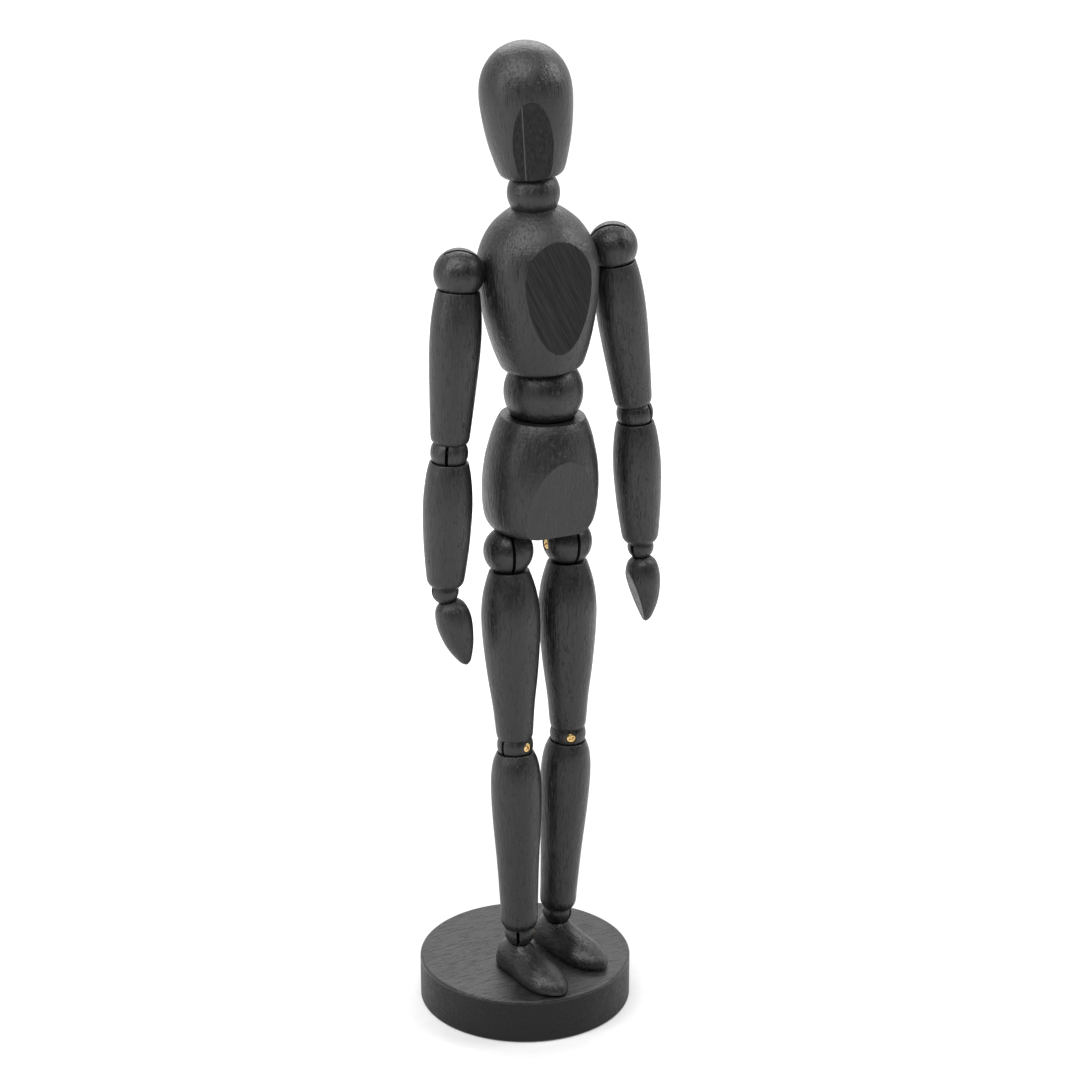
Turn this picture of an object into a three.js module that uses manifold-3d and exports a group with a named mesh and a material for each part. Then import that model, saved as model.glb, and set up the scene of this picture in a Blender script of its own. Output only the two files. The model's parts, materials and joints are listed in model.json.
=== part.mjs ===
// Artist's jointed mannequin in black satin wood, standing on a round base disc.
// Millimetres, +Z up, origin at the centre of the base's underside, the pelvis facing -Y.
// The figure's right is -X. Turned wooden pieces ride on slotted balls; springs and wire
// eyes inside them hook over the pins of the balls and pull everything together.

import * as THREE from "three";
import { mergeVertices } from "three/addons/utils/BufferGeometryUtils.js";
import Module from "manifold-3d";

const wasm = await Module();
wasm.setup();

// ---------------------------------------------------------------- driving dimensions (mm)

const BASE = { radius: 36.6, height: 15.5, edge: 1.1 };

const LIMB_BALL = { hip: 8.3, knee: 6.1, ankle: 5.2, shoulder: 8.0, elbow: 6.1, wrist: 4.45 };
const BALL = { ...LIMB_BALL, waist: 12.9, neck: 8.3 };
const LENGTH = { thigh: 67.8, shin: 67.5, upper_arm: 57.4, forearm: 46.8 };

const PELVIS = { x: 2.75, y: -4.55, hip_spacing: 22.1, hip_height: 165.45 };
const WAIST_HEIGHT = 218.6; // on the pelvis's own axis
const TORSO = { shoulder_out: 26.5, shoulder_up: 43.6, neck_up: 65.2, facet: 15.8 };
const ANKLE_HEIGHT = 14.76; // above the base's top

const SEAT_GAP = 0.3; // between a ball and the cup that it sits in
const SOLE_GAP = { right: 0.06, left: 0.5 }; // the right foot is screwed down
const BORE_RADIUS = 2.2; // through the turned limbs
const SLOT_WIDTH = 1.4; // sawn into the limb balls
const WIRE = 0.22; // wire radius
const RING_OFFSET = 0.25; // two wire rings sit side by side on each pin
const HOLE_GAP = 0.12; // radial, round pins and shanks
const COIL_RADIUS = 1.55;
const BACK_COIL = 1.6; // spine and neck springs
const BACK_WIRE = 0.35;
const LIMB_SIDES = 16;
const BODY_SIDES = 26;

const PIN_RADIUS = { hip: 1.0, knee: 0.8, ankle: 0.55, shoulder: 1.0, elbow: 0.7, wrist: 0.55 };
const PIN_HEAD = { hip: 1.9, knee: 1.6, ankle: 1.1, shoulder: 1.9, elbow: 1.4, wrist: 1.1 };

// Profiles of the turned pieces: [radius, distance below the upper joint].
const THIGH = [
  [6.7, 6.6], [8.0, 10.5], [9.2, 15.5], [9.85, 22], [9.6, 31], [8.5, 43], [7.1, 54], [6.3, 63.2],
  [5.75, 65.2],
];
const SHIN = [
  [6.4, 2.6], [7.7, 6], [8.45, 11], [8.6, 18], [8.2, 28], [7.2, 43], [6.5, 58], [6.3, 63.4], [5.1, 65.9],
];
const UPPER_ARM = [
  [6.8, 5.3], [7.6, 10], [8.15, 17], [8.1, 26], [7.4, 38], [6.6, 49], [6.2, 52.9], [5.35, 54.2],
];
const FOREARM = [
  [6.3, 3.0], [7.2, 7], [7.9, 13.5], [8.05, 20.5], [7.5, 31], [6.5, 40.5], [5.9, 43.6], [4.4, 45.3],
];
const HAND = [
  [3.2, 3.6], [4.9, 5.4], [5.8, 8.6], [5.95, 12.6], [5.1, 17.9], [3.7, 21.9], [1.8, 25.4], [0, 26.8],
];
// [radius, height above the joint under the piece]
const TORSO_PROFILE = [
  [10.2, 8.8], [12.6, 8.9], [13.5, 9.7], [14.4, 12], [15.7, 16], [17.1, 21.5], [18.3, 27.5],
  [19.1, 33.5], [19.5, 39.5], [19.2, 44.2], [18.0, 48.6], [16.3, 52.2], [14.1, 55.3], [11.6, 57.7],
  [9.1, 59.6], [7.1, 60.7],
];
const HEAD_PROFILE = [
  [6.8, 5.3], [8.9, 5.5], [10.1, 6.6], [11.0, 8.8], [11.9, 12], [12.9, 16], [13.7, 20.5],
  [14.3, 25.5], [14.55, 30.5], [14.1, 35], [12.8, 38.8], [10.8, 41.8], [8.3, 44.2], [5.2, 45.9],
  [2.3, 46.7], [0, 46.9],
];
// [radius, height above the base's underside]
const PELVIS_PROFILE = [
  [0, 172.5], [14.5, 172.5], [16.4, 173.4], [17.9, 175.8], [18.7, 179.3], [19.1, 184], [19.1, 189.5],
  [18.5, 195.5], [17.6, 200], [16.5, 204.3], [15.3, 207.8], [14.1, 210.2], [13.7, 210.6], [0, 210.6],
];
// Sections of the foot: [distance ahead of the ankle, half width, height].
const FOOT = [
  [-10.3, 1.6, 3.4], [-9.2, 3.5, 7.4], [-6.2, 4.9, 10.6], [-2.5, 5.5, 12.2], [1.6, 5.8, 12.2],
  [5, 6.2, 10.4], [9, 6.7, 9.0], [13.5, 6.9, 7.9], [17.5, 6.2, 6.6], [20.8, 4.6, 5.2],
  [22.9, 2.6, 3.8], [23.8, 1.1, 2.5],
];

// The widest line of the foot, as a share of its height.
const SOLE_EDGE = 0.16;
// The sole rises towards the toe and the heel: from this far ahead or behind, by this much.
const TOE_SPRING = { from: 14, rise: 1.0 };
const HEEL_SPRING = { from: 5.5, rise: 0.5 };

// The stance, in degrees from upright: [turn about Y (sideways), turn about X (fore and aft)].
const LEAN = {
  thigh: { right: [-0.6, -2.4], left: [0.4, -1.5] },
  shin: { right: [0.7, -3.8], left: [2.1, 2.2] },
  upper_arm: { right: [3.6, 1.1], left: [-10.3, 2.0] },
  forearm: { right: [1.5, 2.1], left: [-3.9, 0.5] },
  hand: { right: [-13.5, -5.9], left: [-3.8, -2.7] },
};
const PELVIS_POSE = { side: 0.5, forward: 3.0 };
const TORSO_POSE = { turn: -4.2, side: -5.0, forward: 3.9 };
// the head, measured from the torso
const HEAD_POSE = { turn: -18, side: -0.6, forward: -2.6 };
const FOOT_TURN = { right: 9, left: 13 };
const PALM_TURN = { right: 95, left: -99 };
// Where each ball's slot faces: degrees from straight ahead, towards the figure's left.
const SLOT_FACES = {
  hip: { right: -14, left: -1 },
  knee: { right: -72, left: -108 },
  ankle: { right: -15, left: 6 },
  elbow: { right: -35, left: 31 },
  wrist: { right: -95, left: -71 },
  shoulder: { right: 90, left: -90 },
};

// Which end of its pin each screw's head is on: 1 is to the right of someone facing the slot.
const HEAD_SIDE = {
  hip: { right: 1, left: -1 },
  knee: { right: 1, left: 1 },
  ankle: { right: 1, left: 1 },
  shoulder: { right: 1, left: -1 },
  elbow: { right: -1, left: 1 },
  wrist: { right: -1, left: -1 },
};

// Slotted balls: the slot stops at a web, and the pin stops inside the far half. Shares of
// the ball's radius.
const BALL_WEB = 0.62;
const PIN_END = 0.74;
const BORE_END = 0.8;
// Cross-head screws, in shares of the head's radius.
const HEAD_HEIGHT = 0.62;
const RECESS = { depth: 0.3, reach: 0.62, half_width: 0.16 };

// Extension springs in the limbs: close turns that start this far from each pin.
const SPRING_TURNS = { thigh: 6, shin: 6, upper_arm: 5, forearm: 4 };
const SPRING_STANDOFF = 12.5;
const SHOULDER_SPRING = { turns: 4, start: 12, short: 4 }; // ends short of the torso's middle
const POINTS_PER_TURN = 6;

// Eyes of wire in the feet and hands, in holes of this radius.
const EYE_HOLE = 0.8;
const EYE_LENGTH = { foot: 10.5, hand: 11.5 };
const EYE_CLEARANCE = 0.6; // the hole goes on past the wire's end

// The screw through the base into the right foot.
const SCREW = { ahead: 9.5, radius: 1.6, head: 3.3, head_height: 2.2, bite: 5.2, sink: 3.0 };
const SCREW_RECESS = { reach: 1.9, half_width: 0.45, depth: 1.1 };

// Flat facets cut on the -Y side, each through two [distance ahead, height] points.
const PALM = { start: [5.8, -7.0], tip: [0.7, -26.8] };
const PELVIS_FACET = { bottom: [12.7, 172.9], top: [17.6, 199.5] };
const FACE = { chin: [8.8, 5.5], brow: [14.25, 29.5] };

// The bent wire that joins the hip pins, and the bores for the spine and neck springs.
const HIP_WIRE = { meet: 193, bore: 1.5, loop: 1.6 };
const SPINE = { bore: 2.9, pelvis_floor: 188, bottom: -23, torso_top: 37, turns: 9 };
const NECK = { bottom: -14, top: 19, turns: 6, head_ceiling: 22 };

const SIDES = ["right", "left"];
const sign = (side) => (side === "right" ? -1 : 1);
const rad = (degrees) => (degrees * Math.PI) / 180;

// ---------------------------------------------------------------- solids

function toManifold(geometry) {
  const bare = geometry.index ? geometry.toNonIndexed() : geometry.clone();
  bare.deleteAttribute("normal");
  bare.deleteAttribute("uv");
  const merged = mergeVertices(bare, 1e-4);
  return new wasm.Manifold(
    new wasm.Mesh({
      numProp: 3,
      vertProperties: merged.attributes.position.array,
      triVerts: new Uint32Array(merged.index.array),
    }),
  );
}

function toGeometry(manifold) {
  const mesh = manifold.getMesh();
  const geometry = new THREE.BufferGeometry();
  geometry.setAttribute("position", new THREE.BufferAttribute(mesh.vertProperties, 3));
  geometry.setIndex(new THREE.BufferAttribute(mesh.triVerts, 1));
  return mergeVertices(geometry, 1e-4);
}

const cut = (solid, ...tools) => tools.reduce((left, tool) => left.subtract(tool), solid);
const join = (solid, ...others) => others.reduce((whole, other) => whole.add(other), solid);

// A turned solid about Z from [radius, height] points that start and end on the axis or
// close on themselves, listed anticlockwise with the radius to the right.
function turned(points, sides) {
  const profile = points.map(([radius, height]) => new THREE.Vector2(radius, height));
  return toManifold(new THREE.LatheGeometry(profile, sides).rotateX(Math.PI / 2));
}

function ball(radius, centre = [0, 0, 0], sides = 14, rings = 8) {
  const geometry = new THREE.SphereGeometry(radius, sides, rings).rotateX(Math.PI / 2);
  return toManifold(geometry.translate(...centre));
}

// A cylinder along a local axis, from one coordinate to another.
function rod(axis, radius, from, to, sides = 8) {
  const geometry = new THREE.CylinderGeometry(radius, radius, to - from, sides);
  geometry.translate(0, (from + to) / 2, 0);
  if (axis === "x") geometry.rotateZ(-Math.PI / 2);
  if (axis === "z") geometry.rotateX(Math.PI / 2);
  return toManifold(geometry);
}

function block(low, high) {
  const size = high.map((value, i) => value - low[i]);
  const middle = high.map((value, i) => (value + low[i]) / 2);
  return toManifold(new THREE.BoxGeometry(...size).translate(...middle));
}

// A half space in front of a plane: everything on the -Y side of the line through two
// [distance ahead, height] points.
function frontOf([ahead1, height1], [ahead2, height2], reach = 60) {
  const slope = Math.atan2(ahead2 - ahead1, height2 - height1);
  const geometry = new THREE.BoxGeometry(2 * reach, reach, 4 * reach);
  geometry.translate(0, -reach / 2, 0).rotateX(slope).translate(0, -ahead1, height1);
  return toManifold(geometry);
}

// A closed skin over rings of points, each ring with the same number of points.
function skinned(rings) {
  const count = rings[0].length;
  const points = [...rings.flat()];
  const triangles = [];
  for (let r = 0; r + 1 < rings.length; r++) {
    for (let i = 0; i < count; i++) {
      const a = r * count + i;
      const b = r * count + ((i + 1) % count);
      triangles.push(a, b, b + count, a, b + count, a + count);
    }
  }
  const last = (rings.length - 1) * count;
  for (let i = 1; i + 1 < count; i++) {
    triangles.push(0, i + 1, i);
    triangles.push(last, last + i, last + i + 1);
  }
  const geometry = new THREE.BufferGeometry().setFromPoints(points);
  return geometry.setIndex(triangles);
}

// Round wire swept along points, with flat ends.
function wire(points, radius = WIRE, sides = 4) {
  const along = points.map((point, i) =>
    points[Math.min(i + 1, points.length - 1)].clone().sub(points[Math.max(i - 1, 0)]).normalize(),
  );
  const out = new THREE.Vector3(along[0].y, -along[0].x, 0.01).cross(along[0]).normalize();
  const rings = points.map((point, i) => {
    out.addScaledVector(along[i], -out.dot(along[i])).normalize();
    const across = along[i].clone().cross(out);
    return Array.from({ length: sides }, (_, k) => {
      const angle = (2 * Math.PI * k) / sides;
      const offset = out.clone().multiplyScalar(Math.cos(angle)).addScaledVector(across, Math.sin(angle));
      return point.clone().addScaledVector(offset, radius);
    });
  });
  return skinned(rings);
}

// ---------------------------------------------------------------- balls, pins and wires

// The pin runs along local X; the slot is the YZ plane and opens towards -Y, +Z and -Z,
// leaving a web on the +Y side that keeps the ball in one piece.
function slottedBall(kind) {
  const radius = BALL[kind];
  const reach = radius + 1;
  const slot = block([-SLOT_WIDTH / 2, -reach, -reach], [SLOT_WIDTH / 2, BALL_WEB * radius, reach]);
  const bore = rod("x", PIN_RADIUS[kind] + HOLE_GAP, -BORE_END * radius, reach);
  const counterbore = rod("x", PIN_HEAD[kind] + HOLE_GAP, radius - pinSink(kind), reach, 10);
  return cut(ball(radius), slot, bore, counterbore);
}

// How far under the ball's surface a screw's head is seated.
const pinSink = (kind) => HEAD_HEIGHT * PIN_HEAD[kind] + 0.5;

// A brass screw with a cross recess, its head on the +X side.
function crossScrew(kind) {
  const radius = BALL[kind];
  const head = PIN_HEAD[kind];
  const under = radius - pinSink(kind) + 0.1;
  const face = under + HEAD_HEIGHT * head;
  const floor = face - RECESS.depth * head;
  const arm = RECESS.reach * head;
  const half = RECESS.half_width * head;
  const shank = rod("x", PIN_RADIUS[kind], -PIN_END * radius, under + 0.1);
  return cut(
    join(shank, rod("x", head, under, face, 10)),
    block([floor, -arm, -half], [face + 1, arm, half]),
    block([floor, -half, -arm], [face + 1, half, arm]),
  );
}

const ringRadius = (kind) => PIN_RADIUS[kind] + HOLE_GAP + 0.08 + WIRE;

// Points of a hook round a pin at the origin, from its free end to its shank. The hook lies
// in the plane of the slot direction and Z, and the shank leaves towards +Z or -Z.
function hookPoints(kind, centre, facing, up, offset) {
  const slotDirection = new THREE.Vector3(Math.sin(rad(facing)), -Math.cos(rad(facing)), 0);
  const pinDirection = new THREE.Vector3(Math.cos(rad(facing)), Math.sin(rad(facing)), 0);
  const radius = ringRadius(kind);
  const steps = 7;
  const hook = Array.from({ length: steps + 1 }, (_, i) => {
    const angle = rad(-80 + (260 * i) / steps) * up;
    return centre
      .clone()
      .addScaledVector(slotDirection, radius * Math.cos(angle))
      .addScaledVector(new THREE.Vector3(0, 0, -1), radius * Math.sin(angle))
      .addScaledVector(pinDirection, offset);
  });
  const leaves = centre.clone().addScaledVector(pinDirection, offset);
  return [...hook, leaves.add(new THREE.Vector3(0, 0, up * (BALL[kind] + 0.8)))];
}

// An extension spring along Z, with a hook at each end: { kind, at, facing, offset } each.
function hookedSpring(top, bottom, turns, standoff) {
  const start = hookPoints(top.kind, top.at, top.facing, -1, top.offset);
  const end = hookPoints(bottom.kind, bottom.at, bottom.facing, 1, bottom.offset).reverse();
  const axisAt = (t) => top.at.clone().lerp(bottom.at, t);
  const length = top.at.distanceTo(bottom.at);
  const from = standoff / length;
  const first = rad(top.facing + 90);
  const coil = Array.from({ length: turns * POINTS_PER_TURN + 1 }, (_, i) => {
    const share = i / (turns * POINTS_PER_TURN);
    const angle = first + 2 * Math.PI * turns * share;
    const centre = axisAt(from + share * (1 - 2 * from));
    return centre.add(new THREE.Vector3(Math.cos(angle), Math.sin(angle), 0).multiplyScalar(COIL_RADIUS));
  });
  return wire([...start, ...coil, ...end]);
}

// A wire eye: a hook round the pin and a straight shank of the given length.
function wireEye(kind, length, up, offset) {
  const hook = hookPoints(kind, new THREE.Vector3(), 0, up, offset);
  const shank = [0.75, 1].map((t) => new THREE.Vector3(0, 0, up * length * t));
  return wire([...hook, ...shank]);
}

// ---------------------------------------------------------------- assembly helpers

const FINISH = {
  lacquer: new THREE.MeshStandardMaterial({ color: 0x17171a, roughness: 0.42 }),
  brass: new THREE.MeshStandardMaterial({ color: 0xb88a3e, roughness: 0.35, metalness: 1 }),
  steel: new THREE.MeshStandardMaterial({ color: 0x9a9ca0, roughness: 0.35, metalness: 1 }),
};

function piece(name, shape, finish, parent) {
  const geometry = shape.getMesh ? toGeometry(shape) : shape;
  const mesh = new THREE.Mesh(geometry, FINISH[finish].clone());
  mesh.name = name;
  parent.add(mesh);
  return mesh;
}

// A named frame: its origin is a joint centre.
function frame(name, parent, position, turns = [0, 0, 0]) {
  const group = new THREE.Group();
  group.name = name;
  group.position.set(...position);
  group.rotation.set(rad(turns[0]), rad(turns[1]), rad(turns[2]), "YXZ");
  parent.add(group);
  return group;
}

// A frame at a child's joint that keeps the whole figure's own directions plus the turns given.
function uprightFrame(name, parent, position, turns) {
  const group = frame(name, figure, [0, 0, 0], turns);
  figure.updateMatrixWorld(true);
  group.position.copy(parent.localToWorld(new THREE.Vector3(...position)));
  return group;
}

// ---------------------------------------------------------------- turned limbs

// A limb hangs from its upper joint along -Z: through-bored, with a cup at each end.
function turnedLimb(profile, length, upper, lower) {
  const outline = profile.map(([radius, below]) => [radius, -below]).reverse();
  const upperCup = cupArc(BALL[upper], -outline.at(-1)[1]).map(([radius, down]) => [radius, -down]);
  const lowerCup = cupArc(BALL[lower], outline[0][1] + length).map(([radius, up]) => [radius, up - length]);
  const closed = [...outline, ...upperCup, ...lowerCup.reverse(), outline[0]];
  return turned(closed, LIMB_SIDES);
}

// The seat of a ball at the end of a bored limb, from the rim to the bore: [radius, distance
// from the ball's centre].
function cupArc(ballRadius, rimAt) {
  const seat = ballRadius + SEAT_GAP;
  const rimAngle = Math.asin(rimAt / seat);
  const boreAngle = Math.acos(BORE_RADIUS / seat);
  const steps = 2;
  return Array.from({ length: steps + 1 }, (_, i) => {
    const angle = rimAngle + ((boreAngle - rimAngle) * i) / steps;
    return [seat * Math.cos(angle), seat * Math.sin(angle)];
  });
}

// A slotted ball and its screw. The ball leans half way between the pieces above and below.
function slottedJoint(kind, side, parent, position, leanAbove, leanBelow) {
  const [leanY, leanX] = leanAbove.map((value, i) => (value + leanBelow[i]) / 2);
  const upright = uprightFrame(`${kind}_${side}_lean`, parent, position, [leanX, leanY, 0]);
  const group = frame(`${kind}_${side}`, upright, [0, 0, 0], [0, 0, slotFacing(kind, side)]);
  piece(`${kind}_ball_${side}`, slottedBall(kind), "lacquer", group);
  piece(`${kind}_pin_${side}`, crossScrew(kind), "brass", group);
  if (HEAD_SIDE[kind][side] < 0) {
    group.children.forEach((mesh) => mirrorAcrossSlot(mesh.geometry));
  }
}

const slotFacing = (kind, side) => SLOT_FACES[kind][side] + (kind === "shoulder" ? TORSO_POSE.turn : 0);

function mirrorAcrossSlot(geometry) {
  geometry.scale(-1, 1, 1);
  const index = geometry.index.array;
  for (let i = 0; i < index.length; i += 3) {
    [index[i + 1], index[i + 2]] = [index[i + 2], index[i + 1]];
  }
}


const BELOW = { thigh: "shin", upper_arm: "forearm", forearm: "hand" };
const leanBelow = (name, side) => (BELOW[name] ? LEAN[BELOW[name]][side] : [0, 0]);

// One limb with its spring, and the ball at its lower end. The limb's frame stands upright
// in the figure, so that slots keep facing the way they are named.
function limb(name, side, parent, position, upper, lower) {
  const length = LENGTH[name];
  const [leanY, leanX] = LEAN[name][side];
  const group = uprightFrame(`${name}_${side}_axis`, parent, position, [leanX, leanY, 0]);
  const profile = { thigh: THIGH, shin: SHIN, upper_arm: UPPER_ARM, forearm: FOREARM }[name];
  piece(`${name}_${side}`, turnedLimb(profile, length, upper, lower), "lacquer", group);
  const facing = (kind) => slotFacing(kind, side);
  const spring = hookedSpring(
    { kind: upper, at: new THREE.Vector3(0, 0, 0), facing: facing(upper), offset: RING_OFFSET },
    { kind: lower, at: new THREE.Vector3(0, 0, -length), facing: facing(lower), offset: -RING_OFFSET },
    SPRING_TURNS[name],
    SPRING_STANDOFF,
  );
  piece(`${name}_spring_${side}`, spring, "steel", group);
  slottedJoint(lower, side, group, [0, 0, -length], LEAN[name][side], leanBelow(name, side));
  return group;
}

// ---------------------------------------------------------------- feet and hands

function soleRise(ahead) {
  const toe = Math.max(0, (ahead - TOE_SPRING.from) / (FOOT.at(-1)[0] - TOE_SPRING.from));
  const heel = Math.max(0, (-ahead - HEEL_SPRING.from) / (-FOOT[0][0] - HEEL_SPRING.from));
  return TOE_SPRING.rise * toe ** 2 + HEEL_SPRING.rise * heel ** 2;
}

function footSection([ahead, halfWidth, height]) {
  const steps = 10;
  const sole = 0.74; // the flat of the sole, as a share of the width
  const rise = soleRise(ahead);
  const arc = Array.from({ length: steps + 1 }, (_, i) => {
    const angle = (Math.PI * i) / steps;
    return [halfWidth * Math.cos(angle), height * (SOLE_EDGE + (1 - SOLE_EDGE) * Math.sin(angle))];
  });
  const edge = [
    [-halfWidth * sole, rise],
    [halfWidth * sole, rise],
  ];
  return [...arc, ...edge].map(([x, z]) => new THREE.Vector3(x, -ahead, z));
}


function foot(side) {
  const blank = toManifold(skinned(FOOT.map(footSection)));
  const ankle = ANKLE_HEIGHT - SOLE_GAP[side];
  const seat = ball(BALL.ankle + SEAT_GAP, [0, 0, ankle]);
  const eyeHole = rod("z", EYE_HOLE, ankle - EYE_LENGTH.foot - EYE_CLEARANCE, ankle);
  const shaped = cut(blank, seat, eyeHole);
  if (side === "left") return shaped;
  const pilot = rod("z", SCREW.radius + HOLE_GAP, -1, SCREW.bite + 0.5);
  return cut(shaped, pilot.translate([0, -SCREW.ahead, 0]));
}


function hand() {
  const outline = HAND.map(([radius, below]) => [radius, -below]).reverse();
  const blank = turned([...outline, [0, outline.at(-1)[1]]], LIMB_SIDES);
  const seat = ball(BALL.wrist + SEAT_GAP);
  const eyeHole = rod("z", EYE_HOLE, -EYE_LENGTH.hand - EYE_CLEARANCE, 0);
  return cut(blank, seat, eyeHole, frontOf(PALM.tip, PALM.start));
}

// ---------------------------------------------------------------- pelvis, torso and head


function pelvis() {
  const waistSeat = ball(BALL.waist + SEAT_GAP, [0, 0, WAIST_HEIGHT], 20, 12);
  const hips = SIDES.map((side) => {
    const x = (sign(side) * PELVIS.hip_spacing) / 2;
    const seat = ball(BALL.hip + SEAT_GAP, [x, 0, PELVIS.hip_height]);
    const dishTop = PELVIS.hip_height + BALL.hip - 0.5;
    return join(seat, slantedBore([x, 0, dishTop], [0, 0, HIP_WIRE.meet], HIP_WIRE.bore));
  });
  return cut(
    turned(PELVIS_PROFILE, BODY_SIDES),
    waistSeat,
    rod("z", SPINE.bore, SPINE.pelvis_floor, WAIST_HEIGHT),
    ...hips,
    frontOf(PELVIS_FACET.bottom, PELVIS_FACET.top),
  );
}

function slantedBore(from, to, radius) {
  const start = new THREE.Vector3(...from);
  const end = new THREE.Vector3(...to);
  const geometry = new THREE.CylinderGeometry(radius, radius, start.distanceTo(end), 8);
  const turn = new THREE.Quaternion().setFromUnitVectors(
    new THREE.Vector3(0, 1, 0),
    end.clone().sub(start).normalize(),
  );
  return toManifold(geometry.applyQuaternion(turn).translate(...start.add(end).multiplyScalar(0.5)));
}

// One bent wire joins both hip pins through the pelvis; the spine spring hooks over its top.
function hipWire() {
  const hip = (side) => new THREE.Vector3((sign(side) * PELVIS.hip_spacing) / 2, 0, PELVIS.hip_height);
  const arm = (side) => hookPoints("hip", hip(side), SLOT_FACES.hip[side], 1, -RING_OFFSET);
  const top = [-1, -0.4, 0.4, 1].map(
    (x) => new THREE.Vector3(HIP_WIRE.loop * x, 0, HIP_WIRE.meet + 0.5 - 2 * Math.abs(x)),
  );
  return wire([...arm("right"), ...top, ...arm("left").reverse()]);
}

function torso() {
  const outline = [[0, TORSO_PROFILE[0][1]], ...TORSO_PROFILE, [0, TORSO_PROFILE.at(-1)[1]]];
  const shoulders = SIDES.map((side) =>
    ball(BALL.shoulder + SEAT_GAP, [sign(side) * TORSO.shoulder_out, 0, TORSO.shoulder_up], 18, 10),
  );
  const crossBore = rod("x", BORE_RADIUS, -TORSO.shoulder_out, TORSO.shoulder_out);
  return cut(
    turned(outline, BODY_SIDES),
    ball(BALL.waist + SEAT_GAP, [0, 0, 0], 20, 12),
    ball(BALL.neck + SEAT_GAP, [0, 0, TORSO.neck_up]),
    ...shoulders,
    crossBore.translate([0, 0, TORSO.shoulder_up]),
    rod("z", SPINE.bore, 0, TORSO.neck_up),
    frontOf([TORSO.facet, 0], [TORSO.facet, 10]),
  );
}


function head() {
  const outline = [[0, HEAD_PROFILE[0][1]], ...HEAD_PROFILE];
  return cut(
    turned(outline, 24),
    ball(BALL.neck + SEAT_GAP),
    rod("z", SPINE.bore, 0, NECK.head_ceiling),
    frontOf(FACE.chin, FACE.brow),
  );
}

function boredBall(kind, sides) {
  const reach = BALL[kind] + 1;
  return cut(ball(BALL[kind], [0, 0, 0], sides, 10), rod("z", SPINE.bore, -reach, reach));
}

// A coil spring that bends at a ball's centre, from along Z below it to the upper piece's axis.
function bentSpring(from, to, turns, upperFrame) {
  const steps = turns * POINTS_PER_TURN;
  const coil = Array.from({ length: steps + 1 }, (_, i) => {
    const angle = (2 * Math.PI * i) / POINTS_PER_TURN;
    const z = from + ((to - from) * i) / steps;
    const point = new THREE.Vector3(BACK_COIL * Math.cos(angle), BACK_COIL * Math.sin(angle), z);
    return z > 0 ? point.applyQuaternion(upperFrame.quaternion) : point;
  });
  return wire(coil, BACK_WIRE);
}

// From a shoulder pin through the torso's cross bore, ending short of the middle.
function shoulderSpring(side) {
  const { turns, start, short } = SHOULDER_SPRING;
  const hook = hookPoints("shoulder", new THREE.Vector3(), 90, 1, sign(side) * RING_OFFSET);
  const steps = turns * POINTS_PER_TURN;
  const length = TORSO.shoulder_out - short - start;
  const coil = Array.from({ length: steps + 1 }, (_, i) => {
    const angle = (2 * Math.PI * i) / POINTS_PER_TURN;
    const z = start + (length * i) / steps;
    return new THREE.Vector3(COIL_RADIUS * Math.cos(angle), COIL_RADIUS * Math.sin(angle), z);
  });
  const alongZ = wire([...hook, ...coil]);
  return alongZ.rotateY((-sign(side) * Math.PI) / 2);
}

// ---------------------------------------------------------------- base

function baseDisc(screwAt) {
  const { radius, height, edge } = BASE;
  const profile = [
    [0, 0],
    [radius - 0.5, 0],
    [radius, 0.5],
    [radius, height - edge],
    [radius - 0.3 * edge, height - 0.3 * edge],
    [radius - edge, height],
    [0, height],
  ];
  const hole = rod("z", SCREW.radius + HOLE_GAP, -1, height + 1).translate(screwAt);
  const recess = rod("z", SCREW.head + 0.2, -1, SCREW.sink, 16).translate(screwAt);
  return cut(turned(profile, 48), hole, recess);
}

function footScrew() {
  const head = rod("z", SCREW.head, SCREW.sink - SCREW.head_height - 0.1, SCREW.sink - 0.1, 16);
  const shank = rod("z", SCREW.radius, SCREW.sink - 0.5, BASE.height + SCREW.bite);
  const bottom = SCREW.sink - SCREW.head_height - 0.1;
  const { reach, half_width: half, depth } = SCREW_RECESS;
  const recess = [
    block([-reach, -half, bottom - 1], [reach, half, bottom + depth]),
    block([-half, -reach, bottom - 1], [half, reach, bottom + depth]),
  ];
  return cut(join(head, shank), ...recess);
}

// ---------------------------------------------------------------- the figure

const figure = new THREE.Group();
figure.name = "mannequin";

function buildLeg(side, pelvisFrame) {
  const hipAt = [(sign(side) * PELVIS.hip_spacing) / 2, 0, PELVIS.hip_height];
  slottedJoint("hip", side, pelvisFrame, hipAt, [0, 0], LEAN.thigh[side]);
  const thigh = limb("thigh", side, pelvisFrame, hipAt, "hip", "knee");
  const shin = limb("shin", side, thigh, [0, 0, -LENGTH.thigh], "knee", "ankle");
  const ankle = shin.localToWorld(new THREE.Vector3(0, 0, -LENGTH.shin));
  const eye = frame(`foot_eye_${side}_axis`, figure, ankle.toArray(), [0, 0, SLOT_FACES.ankle[side]]);
  piece(`foot_eye_${side}`, wireEye("ankle", EYE_LENGTH.foot, -1, RING_OFFSET), "steel", eye);
  const soleAt = [ankle.x, ankle.y, BASE.height + SOLE_GAP[side]];
  const footFrame = frame(`foot_${side}_axis`, figure, soleAt, [0, 0, FOOT_TURN[side]]);
  piece(`foot_${side}`, foot(side), "lacquer", footFrame);
  return footFrame;
}

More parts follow.
